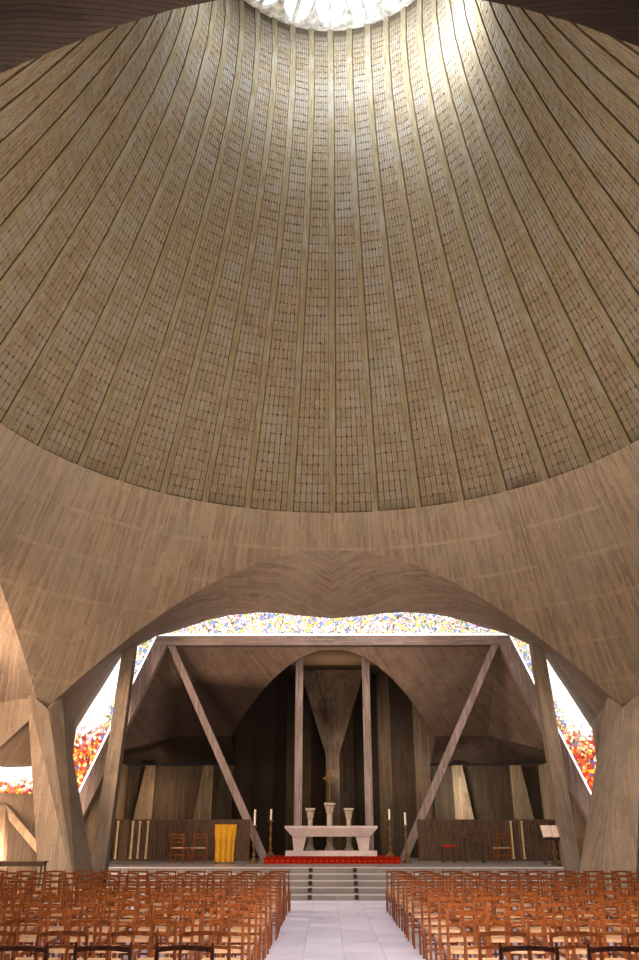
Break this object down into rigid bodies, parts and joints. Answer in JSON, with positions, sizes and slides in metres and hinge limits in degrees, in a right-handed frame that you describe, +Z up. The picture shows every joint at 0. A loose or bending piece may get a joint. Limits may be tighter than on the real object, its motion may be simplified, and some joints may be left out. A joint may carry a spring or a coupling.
{
  "type": "modern concrete church building",
  "caption": "Concrete church: a flared round lantern tower on leaning arches over a square crossing, with folded vaults, stained glass gables, raking piers and an altar.",
  "frame": {"origin": "on the tower axis at ground level, the underside of the floor slab", "axes": "+Z up, +Y from the crossing towards the sanctuary, +X to the right seen from the entrance"},
  "size_m": [32.8, 37.34, 31.3906],
  "materials": {
    "concrete": "board-marked bare concrete",
    "dark_concrete": "board-marked bare concrete, darker",
    "lantern_panels": "cast perforated panels between ribs",
    "marble": "polished",
    "white_stone": "honed",
    "carpet": "woven",
    "stained_glass": "coloured slab glass",
    "dark_wood": "stained and waxed"
  },
  "bodies": {
    "root": {"altar": "white_stone", "altar_dais": "carpet", "apse_pillar": "concrete", "apse_post_left": "concrete", "apse_post_right": "concrete", "apse_roof": "dark_concrete", "apse_wall": "dark_concrete", "choir_screen_left": "dark_wood", "choir_screen_right": "dark_wood", "door_leaf_left": "dark_wood", "door_leaf_right": "dark_wood", "entrance_wall": "concrete", "floor_slab": "marble", "glass_strip_nave_left": "stained_glass", "glass_strip_nave_right": "stained_glass", "glass_strip_sanctuary_left": "stained_glass", "glass_strip_sanctuary_right": "stained_glass", "lantern_wall_nave_left": "lantern_panels", "lantern_wall_nave_right": "lantern_panels", "lantern_wall_sanctuary_left": "lantern_panels", "lantern_wall_sanctuary_right": "lantern_panels", "left_transept_gable_frame": "concrete", "left_transept_gable_glass": "stained_glass", "left_transept_low_roof": "dark_concrete", "left_transept_vault": "dark_concrete", "left_transept_wall": "dark_concrete", "low_wall_nave_left": "concrete", "low_wall_nave_right": "concrete", "low_wall_sanctuary_left": "concrete", "low_wall_sanctuary_right": "concrete", "nave_gable_frame": "concrete", "nave_gable_glass": "stained_glass", "nave_glass_left": "stained_glass", "nave_glass_right": "stained_glass", "nave_vault": "dark_concrete", "nave_wall_left": "concrete", "nave_wall_right": "concrete", "oculus_star": "concrete", "pier_nave_left": "concrete", "pier_nave_right": "concrete", "pier_sanctuary_left": "concrete", "pier_sanctuary_right": "concrete", "right_transept_gable_frame": "concrete", "right_transept_gable_glass": "stained_glass", "right_transept_low_roof": "dark_concrete", "right_transept_vault": "dark_concrete", "right_transept_wall": "dark_concrete", "sanctuary_gable_frame": "concrete", "sanctuary_gable_glass": "stained_glass", "sanctuary_low_roof": "dark_concrete", "sanctuary_platform": "marble", "sanctuary_steps": "marble", "sanctuary_vault": "dark_concrete", "sanctuary_wall_left": "dark_concrete", "sanctuary_wall_right": "dark_concrete", "skirt_nave_left": "concrete", "skirt_nave_right": "concrete", "skirt_sanctuary_left": "concrete", "skirt_sanctuary_right": "concrete"}
  },
  "joints": []
}
